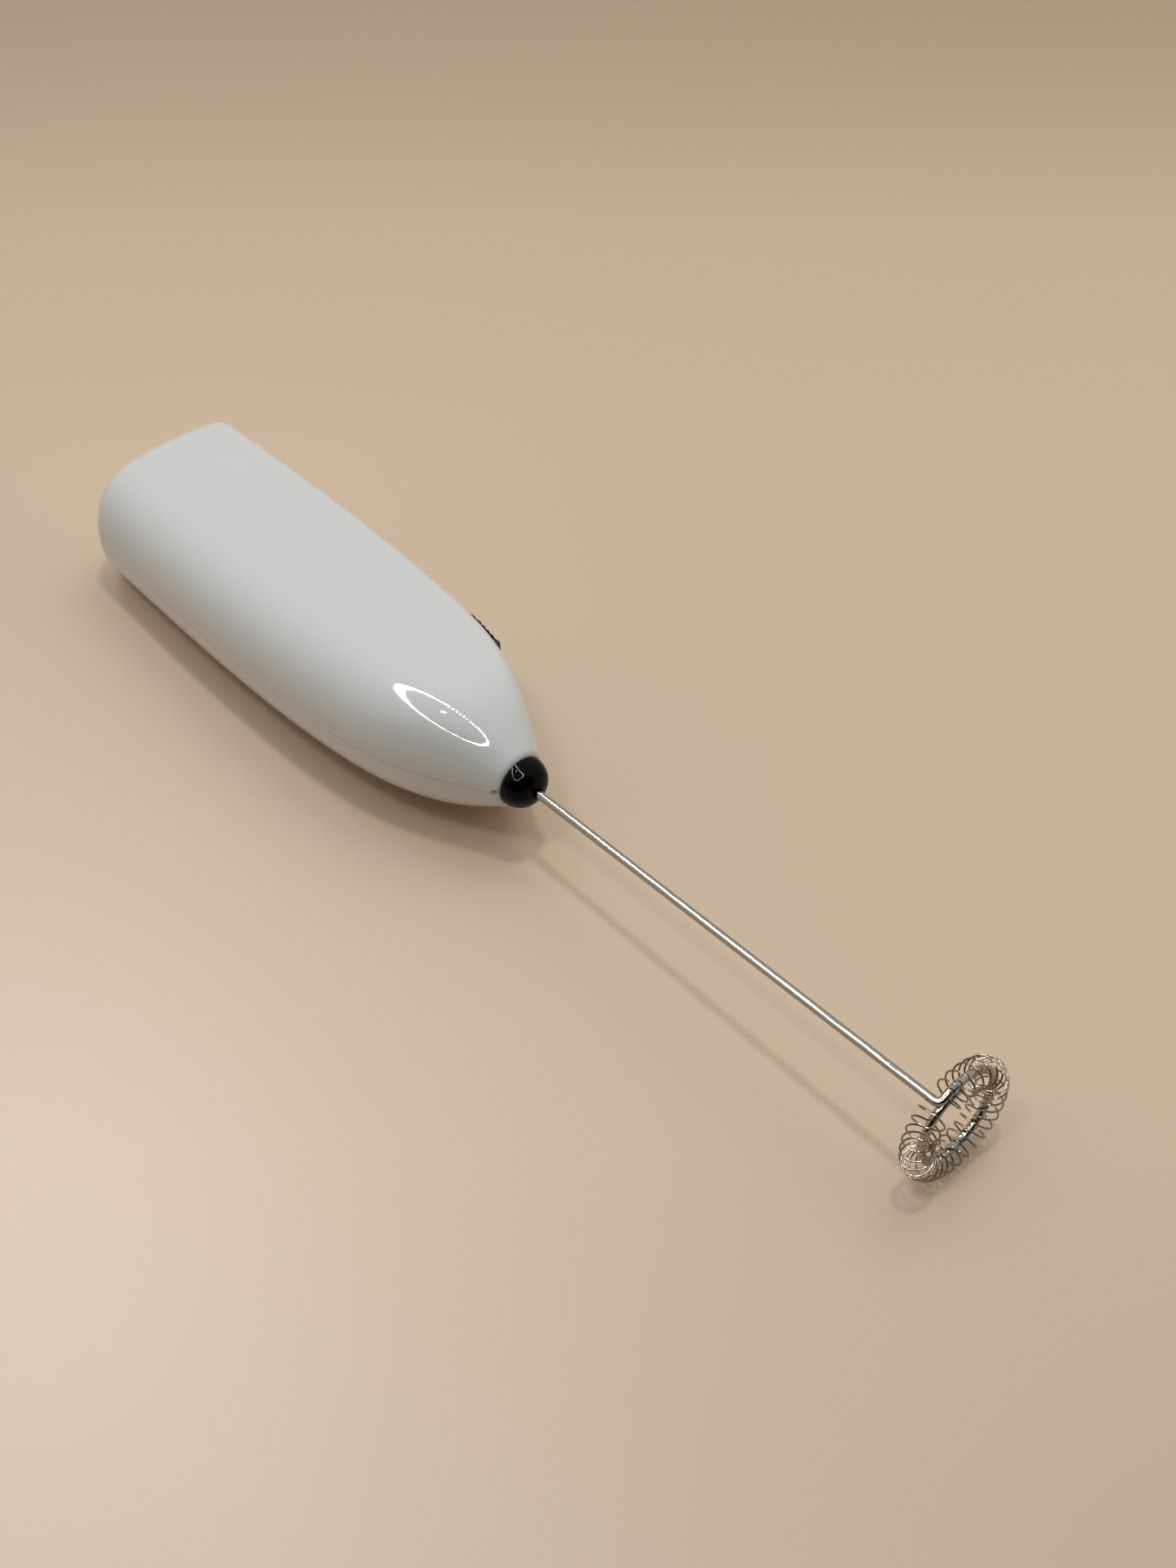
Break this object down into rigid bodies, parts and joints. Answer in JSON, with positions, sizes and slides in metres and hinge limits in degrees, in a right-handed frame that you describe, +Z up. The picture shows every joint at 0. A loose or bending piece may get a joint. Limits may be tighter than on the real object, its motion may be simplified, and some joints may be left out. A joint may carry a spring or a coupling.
{
  "type": "milk frother",
  "caption": "Battery hand frother: D-section handle with slide switch and sliding battery cover, motor-driven steel wire whisk with a coil spring round its ring.",
  "frame": {"origin": "centre of the bounding box at the table surface, with the frother lying as it rests: tail edge and whisk ring on the table", "axes": "+X from the handle's tail towards the whisk, +Y out of the flat side that carries the switch and battery cover, +Z up from the table; the drive axis rises 2.33 degrees towards the whisk"},
  "size_m": [0.2112, 0.0372, 0.0277],
  "materials": {
    "shell_white": "glossy moulded ABS",
    "cover_white": "glossy moulded ABS",
    "cap_black": "high gloss",
    "switch_black": "satin moulded",
    "wire_steel": "polished stainless wire",
    "spring_steel": "bright spring wire",
    "shaft_steel": "ground",
    "motor_steel": "drawn can, satin",
    "motor_nylon": "natural nylon",
    "magnet_ferrite": "sintered",
    "armature_copper": "enamelled winding",
    "contact_copper": "stamped strip",
    "contact_nickel": "nickel-plated strip",
    "bush_brass": "sintered bronze",
    "sleeve_black": "moulded",
    "cell_jacket": "printed jacket, plain",
    "lead_red": "PVC insulation",
    "lead_black": "PVC insulation"
  },
  "bodies": {
    "handle": {"upper_shell": "shell_white", "lower_shell": "shell_white", "nose_cap": "cap_black", "front_bush": "bush_brass", "battery_cell_cover_side": "cell_jacket", "battery_cell_round_side": "cell_jacket", "tail_contact_plate": "contact_nickel", "front_contact_plate_positive": "contact_nickel", "front_contact_plate_negative": "contact_nickel", "tail_contact_spring": "contact_nickel", "front_contact_spring": "contact_nickel", "motor_can": "motor_steel", "motor_end_cap": "motor_nylon", "motor_magnet_upper": "magnet_ferrite", "motor_magnet_lower": "magnet_ferrite", "motor_terminal_positive": "contact_copper", "motor_terminal_negative": "contact_copper", "switch_fixed_contact_rear": "contact_copper", "switch_fixed_contact_front": "contact_copper", "lead_cell_to_motor": "lead_red", "lead_cell_to_switch": "lead_black", "lead_switch_to_motor": "lead_black"},
    "whisk": {"motor_shaft": "shaft_steel", "motor_armature": "armature_copper", "motor_commutator": "contact_copper", "coupling_sleeve": "sleeve_black", "whisk_wire": "wire_steel", "whisk_spring": "spring_steel"},
    "switch": {"switch_button": "switch_black", "switch_moving_contact": "contact_copper"},
    "battery_cover": {"battery_cover": "cover_white"}
  },
  "joints": [
    {"name": "whisk_spin", "type": "hinge", "parent": "handle", "child": "whisk", "pos_m": [0.00997, -0.00092, 0.01632], "axis": [0.9992, 0, 0.0407], "continuous": true},
    {"name": "switch_slide", "type": "slide", "parent": "handle", "child": "switch", "axis": [0.9886, -0.145, 0.0402], "range_m": [0, 0.0035]},
    {"name": "battery_cover_slide", "type": "slide", "parent": "handle", "child": "battery_cover", "axis": [-0.9992, 0, -0.0407], "range_m": [0, 0.062]}
  ]
}
